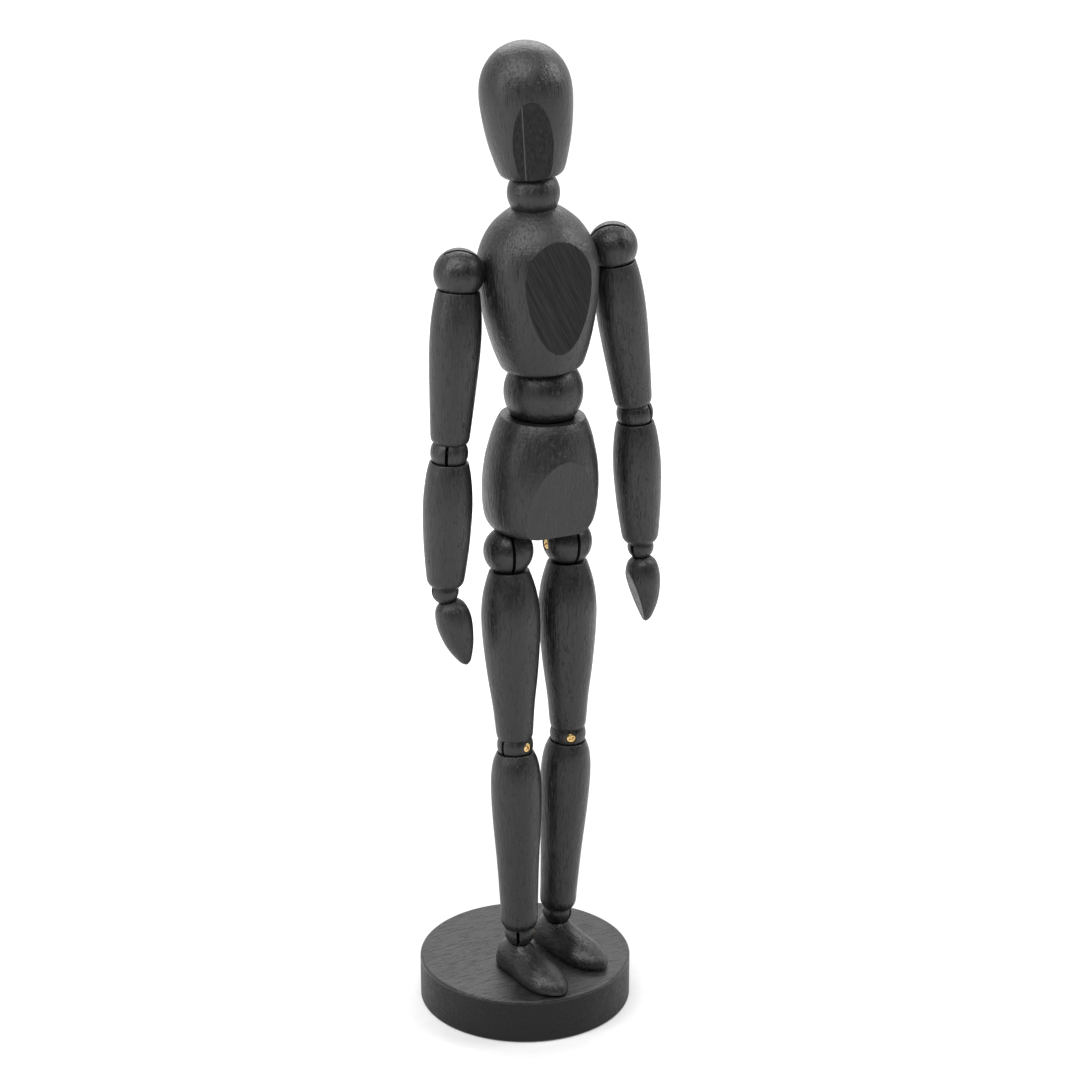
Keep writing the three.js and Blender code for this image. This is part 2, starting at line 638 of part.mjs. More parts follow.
function buildArm(side, torsoFrame) {
  const shoulderAt = [sign(side) * TORSO.shoulder_out, 0, TORSO.shoulder_up];
  const absoluteLean = [TORSO_POSE.side, TORSO_POSE.forward];
  slottedJoint("shoulder", side, torsoFrame, shoulderAt, absoluteLean, LEAN.upper_arm[side]);
  const link = frame(`shoulder_link_${side}`, torsoFrame, shoulderAt);
  piece(`shoulder_spring_${side}`, shoulderSpring(side), "steel", link);
  const upperArm = limb("upper_arm", side, torsoFrame, shoulderAt, "shoulder", "elbow");
  const forearm = limb("forearm", side, upperArm, [0, 0, -LENGTH.upper_arm], "elbow", "wrist");
  const [leanY, leanX] = LEAN.hand[side];
  const wristAt = [0, 0, -LENGTH.forearm];
  const handFrame = uprightFrame(`hand_${side}_axis`, forearm, wristAt, [leanX, leanY, 0]);
  const eye = frame(`hand_eye_${side}_axis`, handFrame, [0, 0, 0], [0, 0, SLOT_FACES.wrist[side]]);
  piece(`hand_eye_${side}`, wireEye("wrist", EYE_LENGTH.hand, -1, RING_OFFSET), "steel", eye);
  const palm = frame(`palm_${side}`, handFrame, [0, 0, 0], [0, 0, PALM_TURN[side]]);
  piece(`hand_${side}`, hand(), "lacquer", palm);
}

const pelvisLean = [PELVIS_POSE.forward, PELVIS_POSE.side, 0];
const hipLine = frame("hip_line", figure, [PELVIS.x, PELVIS.y, PELVIS.hip_height], pelvisLean);
const pelvisFrame = frame("pelvis_axis", hipLine, [0, 0, -PELVIS.hip_height]);
piece("pelvis", pelvis(), "lacquer", pelvisFrame);
piece("hip_wire", hipWire(), "steel", pelvisFrame);

const { turn, side: sideLean, forward } = TORSO_POSE;
const torsoLean = [forward - PELVIS_POSE.forward, sideLean - PELVIS_POSE.side];
const waistFrame = frame("waist", pelvisFrame, [0, 0, WAIST_HEIGHT], [0, 0, turn]);
const halfLean = torsoLean.map((angle) => angle / 2);
const waistBallFrame = frame("waist_ball_axis", waistFrame, [0, 0, 0], [...halfLean, 0]);
piece("waist_ball", boredBall("waist", 20), "lacquer", waistBallFrame);
const torsoFrame = frame("torso_axis", waistFrame, [0, 0, 0], [...torsoLean, 0]);
piece("torso", torso(), "lacquer", torsoFrame);
const spineSpring = bentSpring(SPINE.bottom, SPINE.torso_top, SPINE.turns, torsoFrame);
piece("spine_spring", spineSpring, "steel", waistFrame);

const neckFrame = frame("neck", torsoFrame, [0, 0, TORSO.neck_up]);
piece("neck_ball", boredBall("neck", 16), "lacquer", neckFrame);
const headFrame = frame("head_axis", neckFrame, [0, 0, 0], [HEAD_POSE.forward, HEAD_POSE.side, 0]);
const headTurn = frame("head_turn", headFrame, [0, 0, 0], [0, 0, HEAD_POSE.turn]);
piece("head", head(), "lacquer", headTurn);
const neckSpring = bentSpring(NECK.bottom, NECK.top, NECK.turns, headFrame);
piece("neck_spring", neckSpring, "steel", neckFrame);

SIDES.forEach((side) => buildArm(side, torsoFrame));
const [rightFoot] = SIDES.map((side) => buildLeg(side, pelvisFrame));

figure.updateMatrixWorld(true);
const screwPoint = rightFoot.localToWorld(new THREE.Vector3(0, -SCREW.ahead, 0));
const screwAt = [screwPoint.x, screwPoint.y, 0];
piece("base_disc", baseDisc(screwAt), "lacquer", figure);
piece("foot_screw", footScrew(), "steel", frame("foot_screw_axis", figure, screwAt));

export default figure;
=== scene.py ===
"""Artist's jointed mannequin in black satin lacquer, standing on a round base disc.

Every wooden piece is turned or lofted here as a smooth mesh in its own frame, which comes from
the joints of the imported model. Profiles are in millimetres; Blender's objects are in metres.
"""

import json
import math

import bmesh
import bpy
from mathutils import Matrix, Vector


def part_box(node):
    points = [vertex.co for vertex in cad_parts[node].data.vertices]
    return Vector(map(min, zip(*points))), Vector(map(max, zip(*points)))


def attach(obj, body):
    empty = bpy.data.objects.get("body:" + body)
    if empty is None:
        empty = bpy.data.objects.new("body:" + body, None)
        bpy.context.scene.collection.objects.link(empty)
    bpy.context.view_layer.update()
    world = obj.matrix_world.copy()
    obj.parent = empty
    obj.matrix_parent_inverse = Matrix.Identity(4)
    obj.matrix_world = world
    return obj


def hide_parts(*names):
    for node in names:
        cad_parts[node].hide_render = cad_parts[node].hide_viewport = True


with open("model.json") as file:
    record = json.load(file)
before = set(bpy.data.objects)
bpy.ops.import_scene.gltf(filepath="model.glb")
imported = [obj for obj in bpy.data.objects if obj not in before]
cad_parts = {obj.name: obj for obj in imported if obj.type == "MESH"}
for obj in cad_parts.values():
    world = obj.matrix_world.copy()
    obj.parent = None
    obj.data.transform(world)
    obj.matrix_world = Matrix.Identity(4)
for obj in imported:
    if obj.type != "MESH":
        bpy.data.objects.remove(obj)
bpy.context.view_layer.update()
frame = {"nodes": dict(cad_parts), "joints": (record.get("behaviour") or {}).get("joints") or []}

MM = 0.001
ON_AXIS = 1e-6
SIDES = ("right", "left")
JOINTS = {joint["name"]: joint for joint in frame["joints"]}
OWN_PLACE = "own_place"  # a piece's own coordinates, which its grain follows
AHEAD = Vector((0, -1, 0))

# ---------------------------------------------------------------- driving dimensions (mm)

BALL_RADIUS = {"hip": 8.3, "knee": 6.1, "ankle": 5.2, "shoulder": 8.0, "elbow": 6.1, "wrist": 4.45}
WAIST_RADIUS = 12.9
NECK_RADIUS = 8.3
SEAT_GAP = 0.22  # between a ball and its cup
INSET = 0.08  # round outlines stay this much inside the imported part's faceted ones
BORE = 2.2
SPINE_BORE = 2.9
SLOT = 1.05
SLOT_WEB = 0.62  # the slot stops here, as a share of the radius behind the ball's centre
PIN_END = 0.74  # and the screw here, on the far side from its head
HEAD_HEIGHT = 0.62  # of a screw's head, as a share of its radius
HEAD_SINK = 0.25  # from the ball's surface down to the top of a head that touches its seat
HEAD_LIFT = 0.1  # between the head and its seat
HEAD_PLAY = 0.14  # round the head, in its hole
DOME = 0.3  # rise of the head's dome, as a share of its radius
CROSS = {"reach": 0.6, "half_width": 0.13, "depth": 0.42}  # shares of the head's radius
CROSS_TURN = 28  # degrees
DOME_ANGLES = [math.radians(15 * i) for i in range(1, 6)]
PIN_RADIUS = {"hip": 1.0, "knee": 0.8, "ankle": 0.55, "shoulder": 1.0, "elbow": 0.7, "wrist": 0.55}
PIN_HEAD = {"hip": 1.9, "knee": 1.6, "ankle": 1.1, "shoulder": 1.9, "elbow": 1.4, "wrist": 1.1}
HEAD_SIDE = {  # 1 puts the head at +X of the ball's frame, which lies along the pin
    "hip": {"right": 1, "left": -1},
    "knee": {"right": 1, "left": 1},
    "ankle": {"right": 1, "left": 1},
    "shoulder": {"right": 1, "left": -1},
    "elbow": {"right": -1, "left": 1},
    "wrist": {"right": -1, "left": -1},
}

# Turned outlines, each point a radius and a distance below the upper joint.
LIMB_OUTLINE = {
    "thigh": [
        (6.7, 6.6), (8.0, 10.5), (9.2, 15.5), (9.85, 22), (9.6, 31), (8.5, 43), (7.1, 54),
        (6.3, 63.2), (5.75, 65.2),
    ],
    "shin": [
        (6.4, 2.6), (7.7, 6), (8.45, 11), (8.6, 18), (8.2, 28), (7.2, 43), (6.5, 58),
        (6.3, 63.4), (5.1, 65.9),
    ],
    "upper_arm": [
        (6.8, 5.3), (7.6, 10), (8.15, 17), (8.1, 26), (7.4, 38), (6.6, 49), (6.2, 52.9),
        (5.35, 54.2),
    ],
    "forearm": [
        (6.3, 3.0), (7.2, 7), (7.9, 13.5), (8.05, 20.5), (7.5, 31), (6.5, 40.5), (5.9, 43.6),
        (4.4, 45.3),
    ],
}
LIMB_ENDS = {
    "thigh": ("hip", "knee"),
    "shin": ("knee", "ankle"),
    "upper_arm": ("shoulder", "elbow"),
    "forearm": ("elbow", "wrist"),
}
HAND_OUTLINE = [
    (3.2, 3.6), (4.9, 5.4), (5.8, 8.6), (5.95, 12.6), (5.1, 17.9), (3.7, 21.9), (1.8, 25.4),
    (0, 26.8),
]
# Each point is a radius and a height above the joint under the piece.
TORSO_OUTLINE = [
    (12.6, 8.9), (13.5, 9.7), (14.4, 12), (15.7, 16), (17.1, 21.5), (18.3, 27.5), (19.1, 33.5),
    (19.5, 39.5), (19.2, 44.2), (18.0, 48.6), (16.3, 52.2), (14.1, 55.3), (11.6, 57.7), (9.1, 59.6),
    (7.1, 60.7),
]
HEAD_OUTLINE = [
    (8.9, 5.5), (10.1, 6.6), (11.0, 8.8), (11.9, 12), (12.9, 16), (13.7, 20.5), (14.3, 25.5),
    (14.55, 30.5), (14.1, 35), (12.8, 38.8), (10.8, 41.8), (8.3, 44.2), (5.2, 45.85), (2.3, 46.63),
    (0, 46.82),
]
# Each point is a radius and a height above the line through the hip centres.
PELVIS_OUTLINE = [
    (14.5, 7.05), (16.4, 7.95), (17.9, 10.35), (18.7, 13.85), (19.1, 18.55), (19.1, 24.05),
    (18.5, 30.05), (17.6, 34.55), (16.5, 38.85), (15.3, 42.35), (14.1, 44.75), (13.7, 45.15),
]
# Flat facets, each through two (distance ahead, height) points of the piece's own frame.
PALM_FACET = ((5.8, -7.0), (0.7, -26.8))
CHEST_FACET = ((15.8, 0), (15.8, 10))
PELVIS_FACET = ((12.7, 7.45), (17.6, 34.05))
FACE_FACET = ((8.8, 5.5), (14.25, 29.5))
PALM_TURN = {"right": 95, "left": -99}

# Sections of a foot: (distance ahead of the ankle, half width, height, rise of the sole).
FOOT_SECTIONS = [
    (-10.3, 1.6, 3.4, 0.5), (-9.2, 3.5, 7.4, 0.3), (-6.2, 4.9, 10.6, 0.02), (-2.5, 5.5, 12.2, 0),
    (1.6, 5.8, 12.2, 0), (5, 6.2, 10.4, 0), (9, 6.7, 9.0, 0), (13.5, 6.9, 7.9, 0),
    (17.5, 6.2, 6.6, 0.12), (20.8, 4.6, 5.2, 0.48), (22.9, 2.6, 3.8, 0.82), (23.8, 1.1, 2.5, 1.0),
]
SOLE_EDGE = 0.16  # the foot's widest line, as a share of its height
FOOT_TURN = {"right": 9, "left": 13}
FOOT_BODY = {"right": "base", "left": "foot_left"}

PELVIS_BORE_FLOOR = 22.7  # above the line of the hips
HEAD_BORE_TOP = 22  # above the neck joint
HAND_BORE = 0.8
BASE_EDGE = {"under": 0.6, "top": 1.1}
COUNTERBORE = {"radius": 3.5, "depth": 3.0}
SCREW_HOLE = 1.75

LIMB_SIDES = 96  # sides of a turned piece
TRUNK_SIDES = 128
BASE_SIDES = 192
SPHERE_SIDES = 64
CREASE = 32  # degrees from which an edge is drawn sharp
SOFTENED = 40  # degrees from which a carved edge is bevelled
FACET = 1  # material index of a flat facet

# ---------------------------------------------------------------- frames from the joints


def joint_at(name):
    return Vector(JOINTS[name]["pos_m"])


def joint_axis(name):
    return Vector(JOINTS[name]["axis"]).normalized()


def placed(origin, up, ahead=AHEAD):
    """A frame at origin whose Z is up and whose -Y is as near to ahead as it can be."""
    z = up.normalized()
    y = (ahead.dot(z) * z - ahead).normalized()
    return Matrix.Translation(origin) @ Matrix((y.cross(z), y, z)).transposed().to_4x4()


def ball_centre(kind, side):
    motion = {"shoulder": "shoulder_raise", "ankle": "foot_turn"}.get(kind, f"{kind}_bend")
    return joint_at(f"{motion}_{side}")


def limb_frame(limb, side):
    upper, lower = (ball_centre(kind, side) for kind in LIMB_ENDS[limb])
    return placed(upper, upper - lower)


# ---------------------------------------------------------------- outlines


def smooth(points, per_span=5):
    """A Catmull-Rom curve through (radius, height) points, drawn in by INSET."""
    ends = [points[0], *points, points[-1]]
    curve = []
    for p0, p1, p2, p3 in zip(ends, ends[1:], ends[2:], ends[3:]):
        a, b, c, d = (Vector(p) for p in (p0, p1, p2, p3))
        for step in range(per_span):
            t = step / per_span
            curve.append(
                0.5 * (2 * b + (c - a) * t + (2 * a - 5 * b + 4 * c - d) * t**2
                       + (3 * b - a - 3 * c + d) * t**3)
            )
    return [Vector((max(p.x - INSET, 0), p.y)) for p in (*curve, Vector(points[-1]))]


def rounded(points, corners, steps=4):
    """The outline with some corners, {index: radius}, turned into short curves."""
    out = []
    for i, point in enumerate(points):
        radius = corners.get(i)
        if radius is None:
            out.append(point)
            continue
        before, after = points[i - 1], points[(i + 1) % len(points)]
        a = (before - point).normalized() * min(radius, 0.6 * (before - point).length)
        b = (after - point).normalized() * min(radius, 0.6 * (after - point).length)
        for step in range(steps + 1):
            t = step / steps
            out.append(point + a * (1 - t) ** 2 + b * t**2)
    return out


def arc(radius, start, end, steps=8):
    """Points of a circle about the origin, with angles from the horizontal."""
    angles = [start + (end - start) * i / steps for i in range(steps + 1)]
    return [Vector((radius * math.cos(a), radius * math.sin(a))) for a in angles]


def flipped(points, height=0):
    """The outline upside down, its zero now at this height."""
    return [Vector((p.x, height - p.y)) for p in points]


def cup(ball_radius, rim_height, bore=BORE, steps=8):
    """A ball's seat from the rim to the bore: heights above the ball's centre."""
    seat = ball_radius + SEAT_GAP
    return arc(seat, math.asin(rim_height / seat), math.acos(bore / seat), steps=steps)


# ---------------------------------------------------------------- meshes


def turned_ring(mesh, radius, height, sides):
    """A circle of vertices, or one vertex where the outline meets the axis."""
    if radius < ON_AXIS:
        return [mesh.verts.new((0, 0, height * MM))]
    angles = [2 * math.pi * i / sides for i in range(sides)]
    wide = radius * MM
    return [mesh.verts.new((wide * math.cos(a), wide * math.sin(a), height * MM)) for a in angles]


def lathe(outline, closed=False, sides=LIMB_SIDES):
    """A turned mesh about local Z from an outline in millimetres."""
    mesh = bmesh.new()
    rings = [turned_ring(mesh, radius, height, sides) for radius, height in outline]
    for first, second in zip(rings, rings[1:] + rings[:1] if closed else rings[1:]):
        for i in range(sides):
            j = (i + 1) % sides
            lower = [first[i % len(first)], first[j % len(first)]]
            upper = [second[j % len(second)], second[i % len(second)]]
            mesh.faces.new(list(dict.fromkeys(lower + upper)))
    bmesh.ops.recalc_face_normals(mesh, faces=mesh.faces)
    return mesh


def box_mesh(low, high):
    """A box between two corners in millimetres."""
    mesh = bmesh.new()
    bmesh.ops.create_cube(mesh, size=1)
    low, high = Vector(low) * MM, Vector(high) * MM
    for vert in mesh.verts:
        vert.co = Vector(((vert.co[i] + 0.5) * (high - low)[i] + low[i] for i in range(3)))
    return mesh


def sphere_mesh(radius, centre=(0, 0, 0)):
    half = arc(radius, -math.pi / 2, math.pi / 2, steps=32)
    mesh = lathe([(0, -radius), *half[1:-1], (0, radius)], sides=SPHERE_SIDES)
    bmesh.ops.translate(mesh, verts=mesh.verts, vec=Vector(centre) * MM)
    return mesh


def rod_mesh(radius, low, high):
    return lathe([(0, low), (radius, low), (radius, high), (0, high)], sides=32)


def cut_facet(mesh, facet, edge=0.22):
    """Slices the front off on a plane through two (ahead, height) points, with a soft edge."""
    (ahead1, height1), (ahead2, height2) = facet
    normal = Vector((0, -(height2 - height1), -(ahead2 - ahead1))).normalized()
    if normal.y > 0:
        normal.negate()
    point = Vector((0, -ahead1, height1)) * MM
    everything = [*mesh.verts, *mesh.edges, *mesh.faces]
    cut = bmesh.ops.bisect_plane(
        mesh, geom=everything, dist=1e-7, plane_co=point, plane_no=normal, clear_outer=True
    )
    border = [item for item in cut["geom_cut"] if isinstance(item, bmesh.types.BMEdge)]
    flat = bmesh.ops.contextual_create(mesh, geom=border)["faces"][0]
    flat.material_index = FACET
    bmesh.ops.remove_doubles(mesh, verts=list(flat.verts), dist=0.03 * MM)
    flat = max((f for f in mesh.faces if f.material_index == FACET), key=lambda f: f.calc_area())
    bmesh.ops.bevel(
        mesh, geom=list(flat.edges), offset=edge * MM, segments=2, profile=0.5, affect="EDGES",
        clamp_overlap=True, material=0,
    )


def object_of(name, mesh, matrix, materials=()):
    data = bpy.data.meshes.new(name)
    mesh.to_mesh(data)
    mesh.free()
    for material in materials:
        data.materials.append(material)
    made = bpy.data.objects.new(name, data)
    bpy.context.scene.collection.objects.link(made)
    made.matrix_world = matrix
    return made


def carved(name, mesh, tools, matrix, materials, edge=0.12):
    """The mesh less the tool meshes, with its sharp edges softened, as a placed object."""
    made = object_of(name, mesh, matrix, materials)
    cutters = [object_of(f"{name}_tool_{i}", tool, matrix) for i, tool in enumerate(tools)]
    for cutter in cutters:
        cut = made.modifiers.new("cut", "BOOLEAN")
        cut.operation, cut.object, cut.solver = "DIFFERENCE", cutter, "EXACT"
    soften = made.modifiers.new("soften", "BEVEL")
    soften.width, soften.segments, soften.limit_method = edge * MM, 2, "ANGLE"
    soften.angle_limit = math.radians(SOFTENED)
    bpy.context.view_layer.update()
    evaluated = made.evaluated_get(bpy.context.evaluated_depsgraph_get())
    baked = bpy.data.meshes.new_from_object(evaluated)
    made.modifiers.clear()
    made.data = baked
    for cutter in cutters:
        bpy.data.objects.remove(cutter)
    return made


def shade(made):
    """Smooth shading, but for creases and the borders of facets."""
    mesh = bmesh.new()
    mesh.from_mesh(made.data)
    for face in mesh.faces:
        face.smooth = True
    for edge in mesh.edges:
        kinds = {face.material_index for face in edge.link_faces}
        flat_enough = edge.calc_face_angle(0) < math.radians(CREASE)
        edge.smooth = len(edge.link_faces) == 2 and len(kinds) == 1 and flat_enough
    mesh.to_mesh(made.data)
    mesh.free()


def settle(made):
    """Moves a piece's place into its vertices, and keeps its own coordinates for the grain."""
    own = made.data.attributes.new(OWN_PLACE, "FLOAT_VECTOR", "POINT")
    own.data.foreach_set("vector", [value for vert in made.data.vertices for value in vert.co])
    made.data.transform(made.matrix_world)
    made.matrix_world = Matrix.Identity(4)


def finished(made, body, node):
    """Shading of a piece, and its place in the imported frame."""
    shade(made)
    settle(made)
    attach(made, body)
    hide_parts(node)


# ---------------------------------------------------------------- materials


# Half width of the painted highlight, a pale line, on a sanded facet.
PAINTED_HIGHLIGHT_HALF_WIDTH = 0.16


class Nodes:
    """A short way to write a material's node tree. Its textures follow a piece's own frame."""

    def __init__(self, name, own=True):
        self.material = bpy.data.materials.new(name)
        self.material.use_nodes = True
        self.tree = self.material.node_tree
        self.shader = self.tree.nodes["Principled BSDF"]
        if own:
            self.coords = self.add("ShaderNodeAttribute", attribute_name=OWN_PLACE).outputs["Vector"]
        else:
            self.coords = self.add("ShaderNodeTexCoord").outputs["Object"]

    def add(self, kind, inputs=None, **settings):
        node = self.tree.nodes.new(kind)
        for key, value in settings.items():
            setattr(node, key, value)
        for key, value in (inputs or {}).items():
            if isinstance(value, bpy.types.NodeSocket):
                self.tree.links.new(value, node.inputs[key])
            else:
                node.inputs[key].default_value = value
        return node

    def stretched(self, scale, turn):
        """Coordinates turned by degrees about each axis, then multiplied by scale per metre."""
        angles = [math.radians(angle) for angle in turn]
        turned = self.add("ShaderNodeMapping", {"Vector": self.coords, "Rotation": angles}).outputs[0]
        return self.add("ShaderNodeMapping", {"Vector": turned, "Scale": scale}).outputs[0]

    def noise(self, scale, detail=4, roughness=0.55, turn=(0, 0, 0)):
        place = {"Vector": self.stretched(scale, turn), "Scale": 1.0}
        look = {"Detail": detail, "Roughness": roughness}
        return self.add("ShaderNodeTexNoise", place | look).outputs["Fac"]

    def ramp(self, fac, stops):
        """A ramp from (position, grey or colour) stops."""
        node = self.add("ShaderNodeValToRGB", {"Fac": fac})
        elements = node.color_ramp.elements
        while len(elements) < len(stops):
            elements.new(0.5)
        for element, (position, value) in zip(elements, stops):
            element.position = position
            colour = (value,) * 3 if isinstance(value, float) else value
            element.color = (*colour, 1)
        return node.outputs["Color"]

    def maths(self, operation, *values):
        return self.add("ShaderNodeMath", dict(enumerate(values)), operation=operation).outputs[0]

    def mixed(self, factor, below, above):
        """One colour over another. A mix node's colours are its inputs 6 and 7 and its output 2."""
        inputs = {0: factor, 6: below, 7: (*above, 1)}
        return self.add("ShaderNodeMix", inputs, data_type="RGBA").outputs[2]

    def bump(self, *layers):
        """Bumps laid over each other: (height, distance in mm, strength) each."""
        normal = None
        for height, distance, strength in layers:
            inputs = {"Height": height, "Distance": distance * MM, "Strength": strength}
            if normal is not None:
                inputs["Normal"] = normal
            normal = self.add("ShaderNodeBump", inputs).outputs[0]
        self.tree.links.new(normal, self.shader.inputs["Normal"])

    def link(self, output, name):
        self.tree.links.new(output, self.shader.inputs[name])


def lacquer(name, grain=(1300, 1300, 190), tint=0.006, gloss=0.36, pitted=0.8, streaks=0.6,
            rings=0.0, specular=0.44):
    """Black satin lacquer over fine grain, with open pores that run along the grain."""
    nodes = Nodes(name)
    long_grain = nodes.noise(grain, detail=4, roughness=0.6)
    fibres = nodes.noise([value * 0.3 for value in grain], detail=5)
    pores = nodes.noise([value * 1.4 for value in grain], detail=2, roughness=0.4)
    turning = nodes.noise((25, 25, 1700), detail=2)
    pits = nodes.ramp(pores, [(0.33, 0.0), (0.41, 1.0)])
    cloud = nodes.noise((90, 90, 40), detail=4, roughness=0.65)
    wear = nodes.maths("MULTIPLY", nodes.maths("ADD", long_grain, cloud), 0.5)
    dark, pale = (tint * 0.6,) * 3, (tint * 1.75, tint * 1.7, tint * 1.62)
    nodes.link(nodes.ramp(wear, [(0.38, dark), (0.62, pale)]), "Base Color")
    nodes.link(nodes.ramp(wear, [(0.35, gloss - 0.1), (0.65, gloss + 0.14)]), "Roughness")
    nodes.shader.inputs["Specular IOR Level"].default_value = specular
    nodes.shader.inputs["Coat Weight"].default_value = 0.08
    nodes.shader.inputs["Coat Roughness"].default_value = 0.25
    nodes.bump(
        (pits, 0.3, pitted), (long_grain, 0.5, streaks), (fibres, 0.35, 0.6 * streaks),
        (turning, 0.1, rings),
    )
    return nodes.material


def sanded(name, grain, turn=(0, 0, 0), painted_highlight_at=None):
    """A facet sanded flat before it was stained: matt, with open straight grain.

    Its last argument is the place across the facet, in millimetres, of one pale line along it: a
    painted highlight."""
    nodes = Nodes(name)
    lines = nodes.noise(grain, detail=6, roughness=0.7, turn=turn)
    scratches = nodes.noise([value * 2.3 for value in grain], detail=3, turn=turn)
    wood = nodes.ramp(lines, [(0.38, 0.008), (0.64, 0.024)])
    # A pale line laid over the grain at one place: a painted highlight.
    if painted_highlight_at is not None:
        across = nodes.add("ShaderNodeSeparateXYZ", {0: nodes.coords}).outputs["X"]
        on_painted_highlight = nodes.maths("COMPARE", across, painted_highlight_at * MM, PAINTED_HIGHLIGHT_HALF_WIDTH * MM)
        wood = nodes.mixed(on_painted_highlight, wood, (0.07, 0.07, 0.068))
    nodes.link(wood, "Base Color")
    nodes.link(nodes.ramp(scratches, [(0.35, 0.65), (0.65, 0.9)]), "Roughness")
    nodes.shader.inputs["Specular IOR Level"].default_value = 0.17
    nodes.bump((lines, 0.2, 0.8), (scratches, 0.08, 0.6))
    return nodes.material


def metal(name, colour, dark, roughness):
    nodes = Nodes(name, own=False)
    worn = nodes.noise((900, 900, 900), detail=4)
    nodes.link(nodes.ramp(worn, [(0.35, dark), (0.6, colour)]), "Base Color")
    nodes.link(nodes.ramp(worn, [(0.3, roughness - 0.08), (0.7, roughness + 0.12)]), "Roughness")
    nodes.shader.inputs["Metallic"].default_value = 1.0
    nodes.bump((nodes.noise((1500, 1500, 1500), detail=2), 0.03, 0.4))
    return nodes.material


LACQUER = lacquer("black_lacquer")
BALL_LACQUER = lacquer("black_lacquer_ball", grain=(900, 900, 160), pitted=0.6, rings=0.3)
TRUNK_LACQUER = lacquer("black_lacquer_trunk", grain=(1100, 1100, 170), pitted=0.6, rings=0.7)
# The face facet gets one painted highlight, a pale line 2.8 mm off its middle.
FACE_WOOD = sanded("sanded_face", (2300, 2300, 45), painted_highlight_at=-2.8)
CHEST_WOOD = sanded("sanded_chest", (2300, 2300, 60), turn=(0, 24, 0))
PALM_WOOD = lacquer("black_lacquer_palm", gloss=0.42)
PELVIS_FLAT = lacquer("black_lacquer_flat", gloss=0.42, pitted=0.5)
FOOT_LACQUER = lacquer("black_lacquer_foot", grain=(1300, 190, 1300), gloss=0.34)
# Two copies of one lacquer for the base: its side is painted darker, a painted shade, and its top
# lighter, a painted light, than the lacquer of the other pieces.
BASE_SIDE_PAINTED_SHADE = lacquer(
    "black_lacquer_rim_painted_shade", grain=(500, 500, 900), tint=0.004, gloss=0.5, pitted=1.0, specular=0.25
)
BASE_TOP_PAINTED_LIGHT = lacquer("black_lacquer_base_painted_light", grain=(120, 1100, 1100), tint=0.011, pitted=0.9)
BRASS = metal("turned_brass", (0.83, 0.60, 0.27), (0.50, 0.33, 0.12), 0.3)
STEEL = metal("spring_wire", (0.62, 0.63, 0.65), (0.36, 0.36, 0.37), 0.32)

# ---------------------------------------------------------------- balls and screws


NEAR_LIMBS = {
    "hip": ("thigh",),
    "knee": ("thigh", "shin"),
    "ankle": ("shin",),
    "shoulder": ("upper_arm",),
    "elbow": ("upper_arm", "forearm"),
    "wrist": ("forearm",),
}
BALL_BODY = {"shoulder": "upper_arm"}  # other balls have a body of their own name


def pin_axis(kind, side):
    """The way that a ball's screw points: its bend joint's axis, or from its node's box."""
    bend = f"{kind}_bend_{side}"
    if bend in JOINTS:
        return joint_axis(bend)
    low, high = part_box(f"{kind}_pin_{side}")
    head_way = (low + high) / 2 - ball_centre(kind, side)
    return (head_way * HEAD_SIDE[kind][side]).normalized()


def slot_frame(kind, side):
    """A ball's frame: X along its pin, Z along the pieces above and below it."""
    pin = pin_axis(kind, side)
    up = sum((limb_frame(limb, side).col[2].to_3d() for limb in NEAR_LIMBS[kind]), Vector())
    z = (up - up.dot(pin) * pin).normalized()
    axes = Matrix((pin, z.cross(pin), z)).transposed().to_4x4()
    return Matrix.Translation(ball_centre(kind, side)) @ axes


def towards_head(kind, side):
    """Turns local Z to the end of the pin that the screw's head is on."""
    return Matrix.Rotation(math.radians(90 * HEAD_SIDE[kind][side]), 4, "Y")


def ball_body(kind, side):
    return f"{BALL_BODY.get(kind, kind)}_{side}"


def screw_seat(kind):
    return BALL_RADIUS[kind] - HEAD_HEIGHT * PIN_HEAD[kind] - HEAD_SINK


def slotted_ball(kind, side):
    """A turned ball with a slot for the spring's ring and a hole for the screw's head."""
    radius = BALL_RADIUS[kind]
    reach = radius + 1
    slot = box_mesh((-SLOT / 2, -reach, -reach), (SLOT / 2, SLOT_WEB * radius, reach))
    hole = rod_mesh(PIN_HEAD[kind] + HEAD_PLAY, screw_seat(kind), reach)
    bmesh.ops.transform(hole, matrix=towards_head(kind, side), verts=hole.verts)
    name = f"{kind}_ball_{side}"
    place = slot_frame(kind, side)
    made = carved(f"turned_{name}", sphere_mesh(radius), [slot, hole], place, [BALL_LACQUER])
    finished(made, ball_body(kind, side), name)


def screw_mesh(kind, seat, top):
    """A plain shank under a domed head."""
    head, shank = PIN_HEAD[kind], PIN_RADIUS[kind]
    far = -PIN_END * BALL_RADIUS[kind]
    rim = top - DOME * head
    dome = [(head * math.cos(a), rim + DOME * head * math.sin(a)) for a in DOME_ANGLES]
    outline = [(0, far), (shank, far), (shank, seat), (head, seat), (head, rim), *dome, (0, top)]
    return lathe(outline, sides=48)


def screw(kind, side):
    """A brass screw along the pin, its domed head with a cross recess."""
    head = PIN_HEAD[kind]
    seat = screw_seat(kind) + HEAD_LIFT
    top = seat + HEAD_HEIGHT * head
    reach, half, depth = (share * head for share in CROSS.values())
    tools = [
        box_mesh((-reach, -half, top - depth), (reach, half, top + 1)),
        box_mesh((-half, -reach, top - depth), (half, reach, top + 1)),
    ]
    spin = Matrix.Rotation(math.radians(CROSS_TURN), 4, "Z")
    place = slot_frame(kind, side) @ towards_head(kind, side) @ spin
    name = f"{kind}_pin_{side}"
    made = carved(f"brass_{name}", screw_mesh(kind, seat, top), tools, place, [BRASS], edge=0.05)
    finished(made, ball_body(kind, side), name)


# ---------------------------------------------------------------- turned limbs


